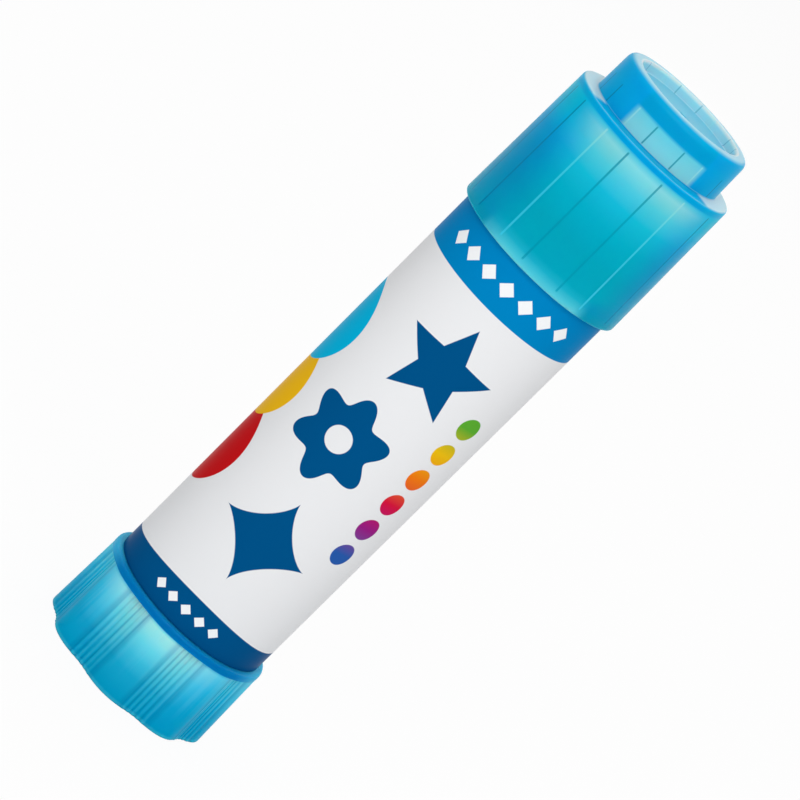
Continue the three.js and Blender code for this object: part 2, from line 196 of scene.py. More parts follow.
class Finish:
    def __init__(self, name, **constants):
        self.material = bpy.data.materials.new(name)
        self.tree = emptyTree(self.material)
        self.shader = self.tree.nodes.new("ShaderNodeBsdfPrincipled")
        self.clear = None
        self.output = self.tree.nodes.new("ShaderNodeOutputMaterial")
        self.link(self.shader, self.output.inputs["Surface"])
        self.fill(self.shader, constants)
        self.place = self.node("ShaderNodeTexCoord", output="Object")
        x, y, z = self.node("ShaderNodeSeparateXYZ", inputs={0: self.place}, output=(0, 1, 2))
        x, y, self.z = x * (1 / mm), y * (1 / mm), z * (1 / mm)
        self.radius = self.maths("SQRT", x * x + y * y)
        self.angle = self.maths("ARCTAN2", x, y * -1)

    def node(self, kind, settings=None, inputs=None, output=0):
        made = self.tree.nodes.new(kind)
        for key, value in (settings or {}).items():
            setattr(made, key, value)
        for key, value in (inputs or {}).items():
            self.put(made.inputs[key], value)
        if isinstance(output, tuple):
            return [Level(self, made.outputs[key]) for key in output]
        return Level(self, made.outputs[output])

    def link(self, made, socket):
        self.tree.links.new(made.outputs[0], socket)

    def put(self, socket, value):
        if isinstance(value, Level):
            self.tree.links.new(value.socket, socket)
        elif isinstance(value, tuple) and len(value) == 3 and socket.type == "RGBA":
            socket.default_value = (*value, 1)
        else:
            socket.default_value = value

    def fill(self, shader, sockets):
        for name, value in sockets.items():
            self.put(shader.inputs[name.replace("_", " ")], value)

    # A second, clear shader under the first, which shows for a share of the light
    def addClear(self, share, **constants):
        self.clear = self.tree.nodes.new("ShaderNodeBsdfPrincipled")
        self.fill(self.clear, {"Transmission_Weight": 1.0, **constants})
        blend = self.tree.nodes.new("ShaderNodeMixShader")
        self.put(blend.inputs[0], share)
        self.link(self.shader, blend.inputs[1])
        self.link(self.clear, blend.inputs[2])
        self.link(blend, self.output.inputs["Surface"])

    # A stain that deepens along the way that light takes through a wall
    def addStain(self, color, density):
        stain = self.tree.nodes.new("ShaderNodeVolumeAbsorption")
        self.fill(stain, {"Color": color, "Density": density})
        self.link(stain, self.output.inputs["Volume"])

    def feed(self, **links):
        self.fill(self.shader, links)
        if self.clear:
            self.fill(self.clear, {"Normal": links["Normal"]})
        return self.material

    def maths(self, operation, *values):
        return self.node("ShaderNodeMath", {"operation": operation}, dict(enumerate(values)))

    def most(self, first, second):
        return self.maths("MAXIMUM", first, second)

    # 0 below the first value, 1 above the second, and smooth between them
    def rise(self, value, low, high):
        settings = {"interpolation_type": "SMOOTHSTEP"}
        return self.node("ShaderNodeMapRange", settings, {0: value, 1: low, 2: high})

    # 1 from low to high, with soft edges of a width
    def band(self, value, low, high, soft):
        risen = self.rise(value, low - soft, low + soft)
        return risen * (1 - self.rise(value, high - soft, high + soft))

    # A colour that runs through stops of (value, red, green, blue), as on screen
    def ramp(self, value, stops):
        low, high = stops[0][0], stops[-1][0]
        made = self.node("ShaderNodeValToRGB", inputs={0: (value - low) / (high - low)})
        elements = made.socket.node.color_ramp.elements
        for k, (at, *color) in enumerate(stops):
            place = (at - low) / (high - low)
            element = elements[k] if k < 2 else elements.new(place)
            element.position = place
            element.color = (*screen(*color), 1)
        return made

    def mix(self, share, first, second):
        settings = {"data_type": "RGBA"}
        return self.node("ShaderNodeMix", settings, {0: share, 6: first, 7: second}, 2)

    def noise(self, scale, detail=2.0, stretch=None):
        place = self.place
        if stretch:
            place = self.node("ShaderNodeMapping", inputs={"Vector": place, "Scale": stretch})
        inputs = {"Vector": place, "Scale": scale, "Detail": detail}
        return self.node("ShaderNodeTexNoise", inputs=inputs)

    # How far a value is from the nearest middle of a repeated pattern
    def fromMiddle(self, value, period, middle=0.0):
        shifted = (value - middle) / period
        return abs(shifted - self.maths("ROUND", shifted)) * period

    # Degrees from the nearest of the middles that stand round the axis, one in each period
    def turnFrom(self, middle, period=180.0):
        return self.fromMiddle(self.angle / degree, period, middle)

    def bump(self, height, distance, strength):
        inputs = {"Height": height, "Distance": distance * mm, "Strength": strength}
        return self.node("ShaderNodeBump", inputs=inputs, output="Normal")

    # 1 where the mask is 1, and less by the share where it is 0
    def partly(self, mask, share):
        return mask * share + (1 - share)

    # Patches that are duller or glossier than the plain mist, and fine grain as bumps
    def skin(self, look):
        low, high = look["mistRange"]
        patches = self.noise(look["patchScale"]) * (high - low) + low
        grainAndGlints = self.noise(look["grainScale"])
        normal = self.bump(grainAndGlints, look["grainHeight"], look["grainStrength"])
        return {"Roughness": patches, "Normal": normal}


# Cap and knob: translucent blue plastic, deeper where the wall is thick, with painted light and
# shade in their colours

bluePlastic = {
    "mist": 0.34,
    "mistRange": (0.28, 0.4),
    "patchScale": 160.0,
    "grainScale": 900.0,
    "grainHeight": 0.01,
    "grainStrength": 0.3,
    "shine": 0.15,
    "frostBend": 1.1,
    "scatter": (0.35, 0.9, 1.0),
    "scatterReach": 1.2,
    "clearTint": screen(225, 248, 252),
    "clearMist": 0.16,
    "clearBend": 1.22,
    "stain": (0.0, 0.936, 0.976),
    "stainDensity": 1500.0,
    # Colours of the painted shade lines and the painted highlight lines on cap and knob
    "shadeLineColor": screen(0, 130, 178),
    "highlightLineColor": screen(138, 226, 244),
}


# A frosted shader that scatters light, mixed with a clear one, and a stain in the wall
def blueFinish(name, frost):
    plastic = Finish(
        name,
        Roughness=bluePlastic["mist"],
        IOR=bluePlastic["frostBend"],
        Specular_IOR_Level=bluePlastic["shine"],
        Subsurface_Weight=1.0,
        Subsurface_Radius=bluePlastic["scatter"],
        Subsurface_Scale=bluePlastic["scatterReach"] * mm,
    )
    plastic.addClear(
        1 - frost,
        Base_Color=bluePlastic["clearTint"],
        Roughness=bluePlastic["clearMist"],
        IOR=bluePlastic["clearBend"],
        Specular_IOR_Level=bluePlastic["shine"],
    )
    plastic.addStain(bluePlastic["stain"], bluePlastic["stainDensity"])
    return plastic


# Heights of colours and masks are above the mouth. The front's colours are painted pale as light
# through the walls, and the sides' deeper as painted shade. A fade is where the front's colours
# give way to the sides', in degrees from a middle, and the back is like the front. Lines and bands
# are (from, to, softness). The boss's edge and the ledge are measured up from the shoulder, and the
# edges of the recess, its wall and the rim outwards from the recess's radius.
cap = {
    "columns": 192,
    "bodyHeight": 19.6,
    "shoulderRadius": 11.63,
    "bossRadius": 9.38,
    "bossFoot": 0.12,
    "shoulderWall": 1.0,
    "bossWall": 1.3,
    "landRadius": 10.65,
    "leadHeight": 0.5,
    "leadDepth": 0.1,
    "panelDepth": 0.35,
    "panels": 8,
    "landAngle": 26.3,
    "firstLand": 6.75,
    "rimWidth": 1.8,
    "recessDepth": 1.3,
    "recessDraft": 0.1,
    "topWall": 1.2,
    "gateRadius": 0.5,
    "gateHeight": 0.2,
    "frost": 0.75,
    # By height: pale mouth edge and paler upper body, painted light; deep where the wall is thick
    # at the shoulder and the top; pale ledge, boss panels and rim, painted light and highlight
    "colors": (
        (0.0, 114, 225, 242), (0.8, 84, 217, 236), (1.7, 30, 198, 222), (2.6, 0, 188, 212),
        (6.2, 0, 186, 209), (10.2, 0, 195, 220), (13.2, 22, 209, 237), (15.7, 97, 225, 249),
        (17.8, 156, 238, 255), (18.55, 95, 220, 245), (18.8, 0, 182, 238), (19.45, 0, 182, 238),
        (19.62, 224, 250, 255), (19.8, 164, 238, 250), (22.4, 122, 228, 247), (22.8, 0, 180, 230),
        (24.95, 0, 179, 228), (25.15, 140, 212, 240), (25.2, 168, 226, 246),
    ),
    # Sides: deeper than the front as painted shade, with painted light making up for the lamps
    "shadedSideColors": (
        (0.0, 10, 166, 196), (0.9, 0, 168, 204), (1.6, 0, 168, 210), (6.2, 0, 162, 212),
        (10.2, 0, 164, 220), (13.2, 0, 174, 236), (15.7, 0, 198, 255), (18.5, 0, 205, 255),
        (18.8, 0, 184, 240), (19.45, 0, 184, 240), (19.62, 224, 250, 255), (19.75, 0, 186, 248),
        (24.95, 0, 180, 240), (25.15, 140, 212, 240), (25.2, 168, 226, 246),
    ),
    "paleLightMiddle": 9.0,
    "bodyFade": (26.0, 62.0),
    "bossEdge": (-0.15, 0.0),
    "bossFade": (31.6, 37.0),
    "mouthFade": (32.0, 44.0),
    "mouthHeights": (1.5, 3.5),
    "ledgeMiddle": 2.5,
    "ledgeFade": (48.0, 55.0),
    "ledgeBand": (-0.1, 0.12, 0.06),
    "ledgeColor": screen(0, 176, 232),
    "recessHeights": (23.0, 23.3),
    "recessEdge": (0.05, 0.15),
    "recessLitColor": screen(112, 202, 234),
    "wallEdge": (-0.4, -0.2),
    "wallHighlightColor": screen(180, 234, 250),
    "rimHeights": (24.7, 25.0),
    "rimBand": (-0.15, 0.3, 0.12),
    "rimHighlightColor": screen(226, 250, 255),
    "lineWidth": 0.16,
    "lineShare": 0.75,
    "bodyLines": (0.9, 18.4, 0.15),
    "bossLines": (19.8, 22.5, 0.15),
    "wallLineShare": 0.6,
    "darkLineColors": (
        (8.0, 0, 170, 196), (13.0, 0, 172, 200), (15.5, 0, 160, 184), (18.0, 0, 152, 176),
    ),
    "paleLineAngles": (25.0, 40.0, 0.5),
    "paleLineColors": (
        (8.0, 78, 228, 255), (13.0, 90, 234, 255), (15.5, 138, 240, 255), (18.0, 178, 245, 255),
    ),
}


# Painted shade lines and painted highlight lines where the wall's thickness steps at the edges of
# the lands: dark ones, and the light ones that stand further round from the first land
def landLines(plastic):
    fromEdge = abs(plastic.turnFrom(cap["firstLand"], 360 / cap["panels"]) - cap["landAngle"] / 2)
    distance = fromEdge * (degree * (cap["landRadius"] + cap["panelDepth"]))
    lines = 1 - plastic.rise(distance, cap["lineWidth"] / 2, cap["lineWidth"])
    pale = plastic.band(plastic.turnFrom(cap["firstLand"]), *cap["paleLineAngles"])
    return lines * (1 - pale), lines * pale


def capFinish():
    plastic = blueFinish("translucent-blue-cap", cap["frost"])
    up = plastic.z - mouthZ
    overShoulder = up - cap["bodyHeight"]
    outOfRecess = plastic.radius - (cap["bossRadius"] - cap["rimWidth"])
    fromLedge = plastic.turnFrom(cap["ledgeMiddle"])
    # Painted light and shade: front and back pale, sides deeper, fading round the cap
    bodySides = plastic.rise(plastic.turnFrom(cap["paleLightMiddle"]), *cap["bodyFade"])
    mouthSides = plastic.most(bodySides, plastic.rise(fromLedge, *cap["mouthFade"]))
    bossSides = plastic.rise(plastic.turnFrom(cap["firstLand"]), *cap["bossFade"])
    bodySides = mouthSides + plastic.rise(up, *cap["mouthHeights"]) * (bodySides - mouthSides)
    onBoss = plastic.rise(overShoulder, *cap["bossEdge"])
    shadedSides = bodySides + onBoss * (bossSides - bodySides)
    color = plastic.mix(shadedSides, plastic.ramp(up, cap["colors"]), plastic.ramp(up, cap["shadedSideColors"]))
    # The ledge's top is painted pale as a highlight at the sides and kept blue at the front
    ledge = plastic.band(overShoulder, *cap["ledgeBand"])
    ledge = ledge * (1 - plastic.rise(fromLedge, *cap["ledgeFade"]))
    color = plastic.mix(ledge, color, cap["ledgeColor"])
    # Painted light in the top: the recess and its wall are painted pale, and the edge of the rim
    # round it is a painted highlight
    recessed = plastic.rise(up, *cap["recessHeights"])
    recessed = recessed * (1 - plastic.rise(outOfRecess, *cap["recessEdge"]))
    color = plastic.mix(recessed, color, cap["recessLitColor"])
    wall = recessed * plastic.rise(outOfRecess, *cap["wallEdge"])
    color = plastic.mix(wall, color, cap["wallHighlightColor"])
    rim = plastic.band(outOfRecess, *cap["rimBand"]) * plastic.rise(up, *cap["rimHeights"])
    color = plastic.mix(rim, color, cap["rimHighlightColor"])
    # Painted shade and highlight lines of the lands, on body, boss and the recess's wall
    dark, pale = landLines(plastic)
    lined = plastic.most(plastic.band(up, *cap["bodyLines"]), plastic.band(up, *cap["bossLines"]))
    lined = plastic.most(lined, wall * cap["wallLineShare"]) * cap["lineShare"]
    darkColor = plastic.mix(shadedSides, plastic.ramp(up, cap["darkLineColors"]), bluePlastic["shadeLineColor"])
    color = plastic.mix(dark * lined, color, darkColor)
    color = plastic.mix(pale * lined, color, plastic.ramp(up, cap["paleLineColors"]))
    return plastic.feed(Base_Color=color, **plastic.skin(bluePlastic))


# Inside the cap the radius grows by the panel depth between the lands:
# radius + depth * panel(angle) * mark, where mark is 1 on the inner walls. In the recess a gate
# mark stands in a shallow ring.
def makeCap():
    period = 360 / cap["panels"]
    edges = [cap["firstLand"] + k * period + side * cap["landAngle"] / 2
             for k in range(cap["panels"]) for side in (-1, 1)]
    angles = turnAngles(cap["columns"], edges, 0.3)
    turn = (np.degrees(angles) - cap["firstLand"] + period / 2) % period - period / 2
    panel = (np.abs(turn) > cap["landAngle"] / 2).astype(float)
    shoulderZ = mouthZ + cap["bodyHeight"]
    ceilingZ = shoulderZ - cap["shoulderWall"]
    recessZ = capTopZ - cap["recessDepth"]
    bossCeilingZ = recessZ - cap["topWall"]
    boss, land = cap["bossRadius"], cap["landRadius"]
    bossBore, recess = boss - cap["bossWall"], boss - cap["rimWidth"]
    gate = cap["gateRadius"]
    path = roundedPath([
        [0, bossCeilingZ, 0],
        [bossBore, bossCeilingZ, 0.3, 1],
        [bossBore, ceilingZ, 0.2, 1],
        [land, ceilingZ, 0.3, 1],
        [land, mouthZ + cap["leadHeight"], 0.2, 1],
        [land + cap["leadDepth"], mouthZ, 0.1, 0.6],
        [mouthRadius, mouthZ, 0.3],
        [cap["shoulderRadius"], shoulderZ, 0.4],
        [boss + cap["bossFoot"], shoulderZ, 0.25],
        [boss, capTopZ, 1.0],
        [recess, capTopZ, 0.3],
        [recess - cap["recessDraft"], recessZ, 0.2],
        [gate * 2.4, recessZ, 0.1],
        [gate * 1.6, recessZ - gate * 0.2, 0.1],
        [gate, recessZ, 0.1],
        [gate * 0.8, recessZ + cap["gateHeight"], 0.1],
        [0, recessZ + cap["gateHeight"], 0],
    ], curvePoints=6)
    radius = path[:, :1] + cap["panelDepth"] * panel * path[:, 3:4]
    grid = roundGrid(radius, path[:, 1:2], angles)
    makePiece("cap-shell", grid, "cap", "cap", capFinish())


# The ring stands on the grip. The painted glints and the streaks are (scale, from, to) of upright
# noise. The edges of dip and lobe are in degrees past a lobe's end, and a rib's crest and valley in
# degrees from their middles.
knob = {
    "columns": 352,
    "ringRadius": 11.95,
    "ringHeight": 1.0,
    "topPeak": 11.92,
    "basePeak": 12.25,
    "lobes": 8,
    "lobeAngle": 26.0,
    "lobeDepth": 1.0,
    "lobeDrop": 0.5,
    "ribs": 5,
    "ribHeight": 0.14,
    "bore": 10.5,
    "floor": 2.0,
    "rimWidth": 2.6,
    "recessDepth": 0.8,
    "recessDraft": 0.1,
    "hubRadius": 4.8,
    "hubTopDrop": 0.2,
    "socketRadius": 3.05,
    "socketFloor": 2.0,
    "holdBead": 8.65,
    "holdBeadHeight": 0.2,
    "holdBeadLength": 0.4,
    "gateRadius": 0.5,
    "gateHeight": 0.2,
    "frost": 0.9,
    # By height: painted highlight at the bottom edge; grip paler upwards, partly the white spigot
    # behind the wall and partly painted light; deep blue ring with a painted highlight on its top
    # edge
    "colors": (
        (0.0, 0, 156, 200), (0.25, 50, 186, 220), (0.6, 0, 168, 208), (4.0, 26, 181, 218),
        (6.0, 70, 204, 232), (8.0, 118, 228, 246), (10.4, 178, 247, 255), (10.7, 130, 230, 248),
        (10.85, 0, 122, 188), (11.5, 0, 122, 188), (11.72, 6, 128, 190), (11.8, 14, 132, 192),
    ),
    # Sides: deeper than the front, as painted shade
    "shadedSideColors": (
        (0.0, 0, 156, 200), (0.25, 40, 186, 220), (0.6, 0, 166, 212), (4.0, 0, 170, 218),
        (6.0, 0, 180, 228), (8.0, 24, 192, 238), (10.4, 80, 210, 248), (10.7, 60, 198, 240),
        (10.85, 0, 122, 188), (11.5, 0, 122, 188), (11.72, 6, 128, 190), (11.8, 14, 132, 192),
    ),
    "paleLightMiddle": -3.0,
    "paleLightFade": (22.0, 56.0),
    "ringEdge": 0.1,
    "ringMiddle": 4.0,
    "ringFade": (48.0, 80.0),
    "ringSideHighlight": screen(60, 190, 232),
    "ringSideShare": 0.7,
    "litHeights": (2.0, 9.5),
    "uprightStretch": (1.0, 1.0, 0.02),
    "grainAndGlints": (1500.0, 0.4, 0.66),
    "glintShare": 0.18,
    "streaks": (1100.0, 0.38, 0.62),
    "dipEdge": (-0.8, -0.4),
    "lobeEdge": (-2.6, 0.6, 1.6),
    "lobeEdgeShare": 0.3,
    "valleyAngles": (0.2, 1.1),
    "valleyShare": 0.42,
    "valleyStreaks": 0.7,
    "crestAngles": (0.3, 1.2),
    "crestShare": 0.35,
    "crestStreaks": 0.6,
    "crestLit": 0.8,
}


# Depth of the grip's outline below the lobes' peaks. A lobe falls as the square of the way to its
# end; a dip falls on as an arc, with ribs of half a sine wave standing in it.
def gripDepth(angles):
    period = 360 / knob["lobes"]
    turn = (np.degrees(angles) + period / 2) % period - period / 2
    half = knob["lobeAngle"] / 2
    lobe = knob["lobeDrop"] * np.minimum(np.abs(turn) / half, 1) ** 2
    dipTurn = np.maximum(np.abs(turn) - half, 0) / (period / 2 - half)
    across = 1 - dipTurn
    dip = (1 - knob["lobeDrop"]) * (1 - across**2)
    wave = np.abs(np.sin(np.pi * knob["ribs"] * (1 + np.sign(turn) * -across) / 2))
    ribs = knob["ribHeight"] * wave * (dipTurn > 0)
    return knob["lobeDepth"] * (lobe + dip) - ribs


def knobFinish():
    plastic = blueFinish("translucent-blue-knob", knob["frost"])
    up, gripTop, soft = plastic.z, knobTopZ - knob["ringHeight"], knob["ringEdge"]
    onGrip = 1 - plastic.rise(up, gripTop - soft, gripTop)
    onRing = plastic.rise(up, gripTop, gripTop + soft)

    def upright(scale, low, high):
        return plastic.rise(plastic.noise(scale, 1.0, knob["uprightStretch"]), low, high)

    # Painted light and shade: front and back paler, sides deeper, fading round the knob
    shadedSides = plastic.rise(plastic.turnFrom(knob["paleLightMiddle"]), *knob["paleLightFade"])
    litFrontTone, shadedSideTone = (plastic.ramp(up, knob[key]) for key in ("colors", "shadedSideColors"))
    color = plastic.mix(shadedSides, litFrontTone, shadedSideTone)
    # Upright streaks painted pale as highlight on the lit upper part of the grip
    lit = plastic.rise(up, *knob["litHeights"]) * onGrip
    grainAndGlints = upright(*knob["grainAndGlints"]) * lit
    color = plastic.mix(grainAndGlints * knob["glintShare"], color, bluePlastic["highlightLineColor"])
    # Painted highlight: the ring is lighter at its sides
    ringSides = plastic.rise(plastic.turnFrom(knob["ringMiddle"]), *knob["ringFade"]) * onRing
    color = plastic.mix(ringSides * knob["ringSideShare"], color, knob["ringSideHighlight"])
    # Painted shade on the lobes' edges. In the dips the crests of the ribs get a painted highlight
    # and the valleys between them painted shade, both in streaks.
    period = 360 / knob["lobes"]
    ribTurn = (period - knob["lobeAngle"]) / knob["ribs"]
    pastLobe = plastic.turnFrom(0.0, period) - knob["lobeAngle"] / 2
    lobeEdge = plastic.band(pastLobe, *knob["lobeEdge"]) * onGrip
    color = plastic.mix(lobeEdge * knob["lobeEdgeShare"], color, bluePlastic["shadeLineColor"])
    inDip = plastic.rise(pastLobe, *knob["dipEdge"]) * onGrip
    streaks = upright(*knob["streaks"])
    fromCrest = plastic.fromMiddle(pastLobe, ribTurn, ribTurn / 2)
    crest = inDip * (1 - plastic.rise(fromCrest, *knob["crestAngles"])) * knob["crestShare"]
    crest = crest * (1 - streaks * knob["crestStreaks"]) * plastic.partly(lit, knob["crestLit"])
    color = plastic.mix(crest, color, bluePlastic["highlightLineColor"])
    fromValley = plastic.fromMiddle(pastLobe, ribTurn)
    valley = inDip * (1 - plastic.rise(fromValley, *knob["valleyAngles"])) * knob["valleyShare"]
    valley = valley * plastic.partly(streaks, knob["valleyStreaks"])
    color = plastic.mix(valley, color, bluePlastic["shadeLineColor"])
    return plastic.feed(Base_Color=color, **plastic.skin(bluePlastic))


# radius = profile radius - grip depth(angle) on the grip, where the first mark is 1, and a hexagon
# on the socket, where the second is
def makeKnob():
    angles = turnAngles(knob["columns"])
    gripTop = knobTopZ - knob["ringHeight"]
    hubTop = bulkheadZ - knob["hubTopDrop"]
    recess = knob["topPeak"] - knob["rimWidth"]
    gate, gateZ = knob["gateRadius"], knob["recessDepth"] - knob["gateHeight"]
    bore, bead, lift = knob["bore"], knob["holdBead"], knob["holdBeadHeight"]
    beadEnd = bead + knob["holdBeadLength"]
    path = roundedPath([
        [0, gateZ, 0],
        [gate, gateZ, 0.1],
        [gate, knob["recessDepth"], 0.05],
        [recess - knob["recessDraft"], knob["recessDepth"], 0.3],
        [recess, 0, 0.15],
        [knob["basePeak"], 0, 0.18, 1],
        [knob["topPeak"], gripTop, 0.1, 1],
        [knob["ringRadius"], gripTop, 0.12],
        [knob["ringRadius"], knobTopZ, 0.5],
        [bore, knobTopZ, 0.12],
        [bore, beadEnd + lift, 0.1],
        [bore - lift, beadEnd, 0.1],
        [bore - lift, bead + lift, 0.1],
        [bore, bead, 0.1],
        [bore, knob["floor"], 0.4],
        [knob["hubRadius"], knob["floor"], 0.4],
        [knob["hubRadius"], hubTop, 0.15],
        [knob["socketRadius"], hubTop, 0, 0, 1],
        [knob["socketRadius"], knob["socketFloor"], 0, 0, 1],
        [0, knob["socketFloor"], 0],
    ])
    radius = path[:, :1] - gripDepth(angles) * path[:, 3:4]
    radius = radius * (1 + (hexagonShape(angles) - 1) * path[:, 4:5])
    grid = roundGrid(radius, path[:, 1:2], angles)
    makePiece("knob-shell", grid, "knob", "turning_knob",
              knobFinish(), sharpAngle=24)


# White parts: satin polypropylene

whitePlastic = {
    "color": screen(240, 241, 239),
    "cloudColor": screen(214, 216, 214),
    "cloudScale": 120.0,
    "cloudShare": 0.12,
    "mist": 0.42,
    "mistRange": (0.38, 0.5),
    "patchScale": 300.0,
    "grainScale": 700.0,
    "grainHeight": 0.01,
    "grainStrength": 0.35,
    "bend": 1.49,
    "scatterShare": 0.25,
    "scatter": (1.0, 0.9, 0.8),
    "scatterReach": 0.8,
}


def whiteFinish(name):
    plastic = Finish(
        name,
        Roughness=whitePlastic["mist"],
        IOR=whitePlastic["bend"],
        Subsurface_Weight=whitePlastic["scatterShare"],
        Subsurface_Radius=whitePlastic["scatter"],
        Subsurface_Scale=whitePlastic["scatterReach"] * mm,
    )
    clouds = plastic.noise(whitePlastic["cloudScale"]) * whitePlastic["cloudShare"]
    color = plastic.mix(clouds, whitePlastic["color"], whitePlastic["cloudColor"])
    return plastic.feed(Base_Color=color, **plastic.skin(whitePlastic))


barrel = {
    "columns": 160,
    "spigotRadius": 10.2,
    "spigotBore": 9.35,
    "bulkhead": 1.4,
    "hole": 3.4,
    "neckRadius": 10.5,
    "bore": 9.75,
    "beadUp": 2.4,
    "beadLength": 1.0,
    "beadHeight": 0.1,
    "snapUp": 2.0,
    "snapLength": 0.9,
    "snapHeight": 0.2,
    "splines": 4,
    "splineWidth": 1.2,
    "splineHeight": 0.45,
    "splineBelowRim": 1.5,
    "splineChamfer": 0.3,
}


# Angles for one turn, and 1 at those within half a width of each of the splines, measured along
# the circle of a radius
def splineAngles(steps, width, radius):
    half = math.degrees(width / 2 / radius)
    period = 360 / barrel["splines"]
    edges = [(k + 0.5) * period + side * half for k in range(barrel["splines"]) for side in (-1, 1)]
    angles = turnAngles(steps, edges, 0.2)
    turn = np.degrees(angles) % period - period / 2
    return angles, (np.abs(np.radians(turn)) * radius < width / 2).astype(float)


# In the bore the radius shrinks by the spline's height at each spline, where the mark is 1
def makeBarrel():
    bore = barrel["bore"]
    angles, spline = splineAngles(barrel["columns"], barrel["splineWidth"], bore)
    spigot, snap = barrel["spigotRadius"], spigotZ + barrel["snapUp"]
    neck, bead = barrel["neckRadius"], shoulderZ + barrel["beadUp"]
    innerFloorZ = bulkheadZ + barrel["bulkhead"]
    splineTop = rimZ - barrel["splineBelowRim"]
    path = roundedPath([
        [barrel["hole"], bulkheadZ, 0.15],
        [barrel["spigotBore"], bulkheadZ, 0.3],
        [barrel["spigotBore"], spigotZ, 0.15],
        [spigot, spigotZ, 0.3],
        [spigot, snap, 0.1],
        [spigot + barrel["snapHeight"], snap + barrel["snapLength"] / 2, 0.1],
        [spigot + barrel["snapHeight"], snap + barrel["snapLength"], 0.08],
        [spigot, snap + barrel["snapLength"], 0.08],
        [spigot, barrelBaseZ, 0.12],
        [tubeRadius, barrelBaseZ, 0.12],
        [tubeRadius, shoulderZ, 0.1],
        [neck, shoulderZ, 0.12],
        [neck, bead, 0.1],
        [neck + barrel["beadHeight"], bead + barrel["beadLength"] / 2, 0.4],
        [neck, bead + barrel["beadLength"], 0.1],
        [neck, rimZ, 0.55],
        [bore, rimZ, 0.2],
        [bore, splineTop + barrel["splineChamfer"], 0],
        [bore, splineTop, 0, 1],
        [bore, innerFloorZ, 0.2, 1],
        [barrel["hole"], innerFloorZ, 0.15],
    ], closed=True)
    radius = path[:, :1] - barrel["splineHeight"] * spline * path[:, 3:4]
    grid = roundGrid(radius, path[:, 1:2], angles)
    makePiece("barrel-tube", grid, "barrel", "barrel",
              whiteFinish("white-barrel"), closed=True)


# Label: printed film round the barrel, with the same design on its front and its back, apart from
# the discs, which stand once, at the left of the front. Places are (across, height) from the
# middle of a face and the label's base, with a size. Discs are (colour, height, radius). Diamonds
# are (height, step, size, reach). The star's normal stands square on the edge of a point.
label = {
    "columns": 192,
    "thickness": 0.1,
    "coverBelow": 0.2,
    "coverAbove": 0.08,
    "seamWidth": 4.0,
    "seamLift": 0.06,
    "mist": 0.3,
    "mistRange": (0.26, 0.34),
    "patchScale": 260.0,
    "grainScale": 90.0,
    "grainHeight": 0.02,
    "grainStrength": 0.25,
    "bend": 1.12,
    "shine": 0.08,
    "paper": screen(233, 234, 236),
    "topBlue": screen(0, 130, 192),
    "navy": screen(0, 80, 134),
    "cyan": screen(0, 178, 222),
    "red": screen(196, 18, 24),
    "yellow": screen(238, 184, 22),
    "white": screen(244, 246, 248),
    "inkEdge": 0.05,
    "topBandFrom": 53.65,
    "baseBandSide": 2.95,
    "baseBandRise": 1.4,
    "topDiamonds": (56.8, 3.0, 1.15, 10.5),
    "baseDiamonds": (2.2, 2.2, 0.8, 5.5),
    "discsAt": -16.2,
    "discs": (("red", 18.5, 6.8), ("yellow", 29.0, 6.2), ("cyan", 39.0, 6.6)),
    "star": (1.2, 44.5, 6.6),
    "starPoints": 5,
    "starNormal": (0.384, 0.923),
    "flower": (-1.5, 30.0, 5.2),
    "petals": 6,
    "petalWave": 1.0,
    "flowerHole": 0.33,
    "tile": (0.8, 14.8, 3.7),
    "tilePower": 0.7,
    "beads": (9.6, 28.0, 1.6),
    "beadStep": 4.3,
    "beadColors": (
        (40, 90, 170), (150, 30, 130), (214, 20, 60), (240, 120, 20), (236, 190, 20), (90, 170, 50),
    ),
}


